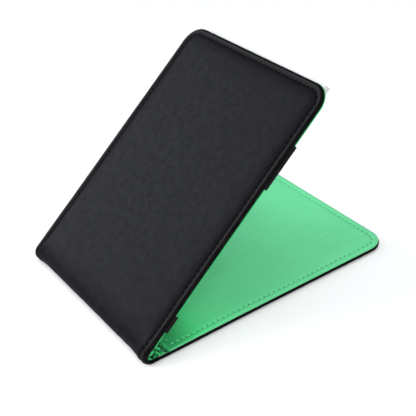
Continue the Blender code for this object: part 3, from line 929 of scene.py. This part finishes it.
STRAP_LEVEL = LINING_TOP + 1.2
STRAP_THICKNESS = 0.36
RIB_PITCH = 0.9
RIB_HEIGHT = 0.12
RIB_STEPS = 6
STRAP_END = [
    (0.36, 1.80), (0.56, 1.80), (0.74, 1.88), (0.86, 2.06), (0.90, 2.30), (0.85, 2.54),
    (0.70, 2.77), (0.46, 2.96), (0.08, 3.13), (-0.4, 3.27), (-1.0, 3.39), (-1.7, 3.47),
    (-2.4, STRAP_LEVEL)]


def strap_path(edge):
    """Out of each side seam, round the lining's edge and across, in (x, h)."""
    side = [(edge + out, h) for out, h in STRAP_END]
    middle = [(v, STRAP_LEVEL) for v in np.linspace(edge - 3.6, 3.6 - edge, 66)]
    return side + middle + [(-a, h) for a, h in reversed(side)]


for name, (low, high) in (("strap_narrow", NARROW_STRAP), ("strap_wide", WIDE_STRAP)):
    count = round((high - low) / RIB_PITCH)
    across = np.linspace(low, high, count * RIB_STEPS + 1)

    def thickness(i, j, count=count):
        rib = 0.5 - 0.5 * math.cos(2 * math.pi * j / RIB_STEPS)
        selvedge = min(j, count * RIB_STEPS - j)
        full = STRAP_THICKNESS + RIB_HEIGHT * rib + 0.01 * math.sin(i * 1.7 + j)
        return full * min(1.0, 0.45 + 0.25 * selvedge)

    edge = HALF_WIDTH + float(flare(np.array(FOLD_ARC + (low + high) / 2)))
    strap = band(name + "_webbing", strap_path(edge), across, thickness,
                 lambda a, b, w: on_front(a, w, b), ELASTIC)
    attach(strap, "front_cover")
    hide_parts(name)


# -------- pad

def joined(name, layers):
    """One object of thin paper layers, their cut edges greyer than their faces with painted shade.
    """
    points, faces, flat = [], [], []
    for part_points, part_faces, part_flat in layers:
        base = len(points)
        points.extend(part_points)
        faces.extend([[v + base for v in f] for f in part_faces])
        flat.extend(part_flat)
    sheets = make_object(name, points, faces, PAPER, flat, smooth_faces=False)
    sheets.data.materials.append(CUT_EDGE)
    upright = Vector((0, -math.sin(STANDING_ANGLE), math.cos(STANDING_ANGLE)))
    marks = [int(abs(face.normal.dot(upright)) < 0.6) for face in sheets.data.polygons]
    sheets.data.polygons.foreach_set("material_index", marks)
    return sheets


SHEET_COUNT = 9
STUB_COUNT = 8
SHEET_SHARE = 0.86
BLOCK_BOTTOM, BLOCK_TOP = LINING_TOP + 1.65, LINING_TOP + 2.65
BOUND_BOTTOM = LINING_TOP + 0.8
SHEET_START = PAD_START + 0.3
LEAF_START = 8.55
LEAF_BOTTOM = LINING_TOP + 2.85
LEAF_PITCH = 0.28
LEAF_THICKNESS = 0.13
TAPE_THICKNESS = 0.14
TAPE_OUT = 0.075
TAPE_BEND = 0.5
STAPLE_PLACES = (("staple_left", -20.0), ("staple_right", 20.0))
STAPLE_REACH = 5.8
STAPLE_BEND = 0.5
WIRE_RADIUS = 0.2
WIRE_SIDES = 12


def ruffle(seed, size):
    """A slight wave that grows towards the open end of a sheet."""
    def lift(x, s):
        return size * wave(x, s, seed, 34.0) * smooth(12, 90, s)
    return lift


layers = []
step = (BLOCK_TOP - BLOCK_BOTTOM) / SHEET_COUNT
for k in range(SHEET_COUNT):
    off, out = rng.uniform(-0.12, 0.12), rng.uniform(-0.14, 0.0)
    layers.append(paper_layer(off, SHEET_START, PAD_END + out, BLOCK_BOTTOM + k * step,
                              BLOCK_BOTTOM + (k + SHEET_SHARE) * step, 16, 24, ruffle(1.0, 0.05)))
stub = (BLOCK_BOTTOM - BOUND_BOTTOM) / STUB_COUNT
for k in range(STUB_COUNT):
    layers.append(paper_layer(0.0, SHEET_START, BINDING_END - rng.uniform(0, 0.1),
                              BOUND_BOTTOM + k * stub, BOUND_BOTTOM + (k + SHEET_SHARE) * stub,
                              12, 3, lambda x, s: 0 * x))
block = joined("paper_block", layers)
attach(block, "front_cover")
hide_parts("sheet_block")

for k in range(1, LEAF_COUNT + 1):
    bottom = LEAF_BOTTOM + LEAF_PITCH * (k - 1)
    end = PAD_END + rng.uniform(-0.1, 0.0)
    leaf = joined(f"loose_leaf_{k}", [
        paper_layer(0.0, LEAF_START, end, bottom, bottom + LEAF_THICKNESS, 30, 44,
                    ruffle(4.0 + k, 0.03))])
    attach(leaf, f"leaf_{k}")
    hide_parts(f"leaf_{k}")

tape_top = BLOCK_TOP + 0.175
tape_bend = [(PAD_START + TAPE_OUT + TAPE_BEND * (1 - math.sin(t)),
              tape_top - TAPE_BEND * (1 - math.cos(t)))
             for t in [math.pi / 2 * k / 7 for k in range(8)]]
tape_path = [(BINDING_END - 0.2 - v, tape_top) for v in np.linspace(0, 2.6, 12)] + tape_bend
tape_path += [(PAD_START + TAPE_OUT, h)
              for h in np.linspace(tape_top - 0.8, LINING_TOP + 0.36, 8)]
tape = band("binding_cloth", tape_path, np.linspace(-PAD_HALF, PAD_HALF, 60),
            lambda i, j: TAPE_THICKNESS + 0.01 * math.sin(2.3 * i + 1.1 * j),
            lambda a, b, w: on_front(w, a, b), CLOTH)
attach(tape, "front_cover")
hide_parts("binding_tape")

crown, foot = tape_top + 0.3, LINING_TOP + 0.45
for name, middle in STAPLE_PLACES:
    bend = [(STAPLE_REACH - STAPLE_BEND * (1 - math.sin(t)),
             crown - STAPLE_BEND * (1 - math.cos(t)))
            for t in [math.pi / 2 * k / 6 for k in range(7)]]
    side = bend + [(STAPLE_REACH, h) for h in np.linspace(crown - 0.8, foot, 6)]
    outline = [(-a, h) for a, h in reversed(side)] + side
    route = np.array([on_front(middle + a, 6.0, h) for a, h in outline])
    normals = np.array([on_front(0, 1, 0) - on_front(0, 0, 0)] * len(route))
    wire_points, wire_faces = tube(route, [WIRE_RADIUS * MM] * len(route), normals, WIRE_SIDES)
    runs = [(n * 0.5, v * 0.1) for n in range(len(route)) for v in range(WIRE_SIDES)]
    wire = make_object(name + "_wire", wire_points, wire_faces, STEEL, runs)
    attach(wire, "front_cover")
    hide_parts(name)


# -------- foam and boards

FOAM_HALF, FOAM_START, FOAM_END, FOAM_DEPTH = 39.4, 10.0, 112.4, 2.6
FOAM_RINGS = [
    (FOAM_DEPTH, 0.62), (2.0, 0.64), (1.3, 0.71), (0.7, 0.82), (0.25, 0.94), (0.0, 1.02),
    (0.05, 1.06), (0.3, 1.08), (1.0, 1.09), (FOAM_DEPTH, 1.09)]
foam_xs = stops((FOAM_DEPTH - FOAM_HALF, FOAM_HALF - FOAM_DEPTH, 4.0))
foam_stops = stops((FOAM_START + FOAM_DEPTH, FOAM_END - FOAM_DEPTH, 4.0))
for name, body, side in (("back", "back_cover", -1), ("front", "front_cover", 1)):
    points, faces, seam, flat, _, _ = closed_sheet(
        FOAM_HALF, FOAM_START, FOAM_END, foam_xs, foam_stops, FOAM_RINGS, FOAM_DEPTH)
    x, s, inset, height, face = points.T
    along = -s if side < 0 else FOLD_ARC + s
    dents = 0.05 * wave(x, s, 6.6, 12.0) * (face == 0) * smooth(0.5, 3, inset)
    world = place(x, along, height - dents)
    sheet_of_foam, = sheet_pieces([name + "_foam"], (), world, faces, seam, flat, s, FOAM)
    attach(sheet_of_foam, body)
    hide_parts(name + "_padding")

for node, material in (("back_board", GREYBOARD), ("front_board", GREYBOARD),
                       ("backing_card", CARD)):
    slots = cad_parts[node].data.materials
    slots.clear()
    slots.append(material)


# -------- stage

FLOOR_HALF = 3.0
SKY_LIGHT = (-0.70, -0.50, 0.51)
SKY_COLOUR = (0.95, 0.98, 1.05, 1.0)


def area_light(name, location, target, size, power):
    """A soft round light that the leather doesn't mirror."""
    data = bpy.data.lights.new(name, "AREA")
    data.shape = "DISK"
    data.size = size
    data.energy = power
    lamp = bpy.data.objects.new(name, data)
    lamp.location = location
    lamp.rotation_mode = "QUATERNION"
    lamp.rotation_quaternion = (Vector(target) - Vector(location)).to_track_quat("-Z", "Y")
    lamp.visible_glossy = False
    scene.collection.objects.link(lamp)


pale = Look("pale_floor", 0.6, Specular_IOR_Level=0.1, Base_Color=(0.92, 0.92, 0.92, 1.0))
corners = [(a * FLOOR_HALF, b * FLOOR_HALF, 0) for a, b in ((-1, -1), (1, -1), (1, 1), (-1, 1))]
floor = make_object("floor", corners, [[0, 1, 2, 3]], pale.material)

# A pale sky with one bright soft patch, which the raised cover mirrors.
world_light = bpy.data.worlds.new("studio")
world_light.use_nodes = True
nodes, links = world_light.node_tree.nodes, world_light.node_tree.links
toward = nodes.new("ShaderNodeVectorMath")
toward.operation = "DOT_PRODUCT"
toward.inputs[1].default_value = SKY_LIGHT
links.new(nodes.new("ShaderNodeTexCoord").outputs["Generated"], toward.inputs[0])
level = nodes.new("ShaderNodeMapRange")
level.interpolation_type = "SMOOTHSTEP"
links.new(toward.outputs["Value"], level.inputs["Value"])
for socket, value in (("From Min", 0.89), ("From Max", 0.985), ("To Min", 0.30), ("To Max", 4.2)):
    level.inputs[socket].default_value = value
nodes["Background"].inputs["Color"].default_value = SKY_COLOUR
links.new(level.outputs[0], nodes["Background"].inputs["Strength"])
scene.world = world_light
scene.view_settings.view_transform = "Standard"
area_light("overhead", (0.15, 0.15, 1.3), (0, 0, 0.03), 1.1, 6.5)
area_light("open_side", (0.62, -0.28, 0.42), (0, -0.02, 0.01), 0.5, 5.0)
area_light("fold_side", (-0.45, -0.75, 0.30), (0, -0.05, 0.0), 0.6, 5.0)

EYE = Vector((286.376, -180.679, 236.477)) * MM
LOOK_ALONG = Vector((-0.71564, 0.45005, -0.53414)).normalized()
EYE_UP = Vector((-0.40504, 0.35562, 0.84230))
across = LOOK_ALONG.cross(EYE_UP).normalized()
upright = across.cross(LOOK_ALONG)
lens = bpy.data.cameras.new("camera")
lens.lens = 82.54
lens.sensor_width = 36.0
lens.clip_start = 0.01
camera = bpy.data.objects.new("camera", lens)
turned = Matrix((across, upright, -LOOK_ALONG)).transposed().to_4x4()
camera.matrix_world = Matrix.Translation(EYE) @ turned
scene.collection.objects.link(camera)
scene.camera = camera
